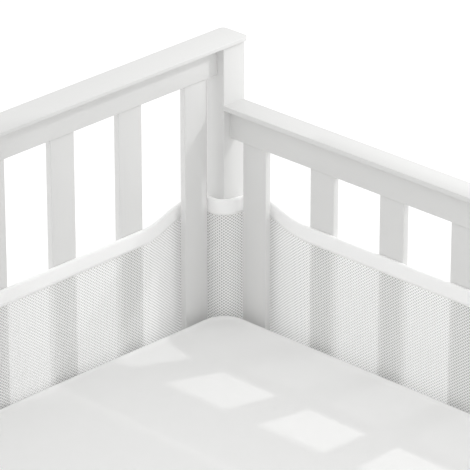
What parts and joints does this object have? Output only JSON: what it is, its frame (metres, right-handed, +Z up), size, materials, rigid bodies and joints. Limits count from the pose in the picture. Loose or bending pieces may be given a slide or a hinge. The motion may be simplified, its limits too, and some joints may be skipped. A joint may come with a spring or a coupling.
{
  "type": "crib bumper on a crib with its mattress",
  "caption": "See-through net crib bumper with a plain top binding, threaded round the slats at the corners of a white slatted crib with its mattress.",
  "frame": {"origin": "on the floor, under the middle of the crib's box", "axes": "+X along the crib's length, +Y across its width, +Z up; the taller ends are at -X and +X, the lower long sides at -Y and +Y"},
  "size_m": [1.403, 0.759, 0.942],
  "materials": {
    "bumper_net": "white air-mesh netting with small round holes, see-through",
    "binding_cloth": "plain white woven cloth, matt",
    "mattress_cover": "plain white cotton fitted sheet, matt",
    "white_paint": "wood painted white, satin"
  },
  "bodies": {
    "root": {"bumper_net_left": "bumper_net", "bumper_net_right": "bumper_net", "bumper_binding_left": "binding_cloth", "bumper_binding_right": "binding_cloth", "mattress": "mattress_cover", "mattress_board": "white_paint", "board_bearer_front": "white_paint", "board_bearer_back": "white_paint", "post_front_left": "white_paint", "post_front_right": "white_paint", "post_back_left": "white_paint", "post_back_right": "white_paint", "end_panel_left": "white_paint", "end_panel_right": "white_paint", "end_cap_left": "white_paint", "end_cap_right": "white_paint", "side_panel_front": "white_paint", "side_panel_back": "white_paint", "side_cap_front": "white_paint", "side_cap_back": "white_paint"}
  },
  "joints": []
}
